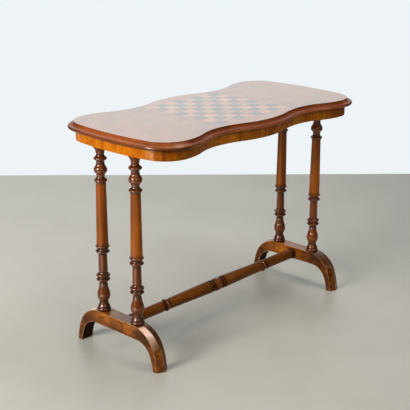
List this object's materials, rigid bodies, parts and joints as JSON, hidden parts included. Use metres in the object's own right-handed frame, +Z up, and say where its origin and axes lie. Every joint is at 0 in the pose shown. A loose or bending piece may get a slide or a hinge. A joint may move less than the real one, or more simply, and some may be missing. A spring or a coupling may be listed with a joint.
{
  "type": "chess table",
  "caption": "Occasional table with a serpentine veneered top inlaid with a chess board, moulded edge and frieze, on turned columns, arched feet and a turned stretcher.",
  "frame": {"origin": "on the floor under the middle of the top", "axes": "+X along the length, to the right as seen from the front; +Y from front to back; +Z up"},
  "size_m": [0.972, 0.48, 0.71],
  "materials": {
    "secondary_wood": "plain sawn timber, unpolished",
    "field_veneer": "figured walnut veneer, glossy French polish",
    "square_dark": "dark stained veneer, glossy French polish",
    "square_light": "pale veneer, glossy French polish",
    "moulding": "red-brown walnut, glossy French polish",
    "frieze_veneer": "figured walnut veneer, glossy French polish",
    "turned_wood": "red-brown walnut, glossy French polish",
    "foot_wood": "red-brown walnut, glossy French polish, worn at the arrises",
    "screw": "dull iron wood screws"
  },
  "bodies": {
    "root": {"top_ground_board": "secondary_wood", "field_veneer_front_left": "field_veneer", "field_veneer_front_right": "field_veneer", "field_veneer_back_left": "field_veneer", "field_veneer_back_right": "field_veneer", "chess_squares_dark": "square_dark", "chess_squares_light": "square_light", "edge_moulding_front_left": "moulding", "edge_moulding_front_right": "moulding", "edge_moulding_back_right": "moulding", "edge_moulding_back_left": "moulding", "edge_moulding_left_end": "moulding", "edge_moulding_right_end": "moulding", "frieze_rail_front": "secondary_wood", "frieze_rail_back": "secondary_wood", "end_bearer_right": "secondary_wood", "end_bearer_left": "secondary_wood", "frieze_veneer_front": "frieze_veneer", "frieze_veneer_back": "frieze_veneer", "frieze_veneer_right": "frieze_veneer", "frieze_veneer_left": "frieze_veneer", "glue_blocks": "secondary_wood", "bearer_screws": "screw", "column_front_left": "turned_wood", "column_front_right": "turned_wood", "column_back_left": "turned_wood", "column_back_right": "turned_wood", "arch_foot_right": "foot_wood", "arch_foot_left": "foot_wood", "stretcher": "turned_wood"}
  },
  "joints": []
}
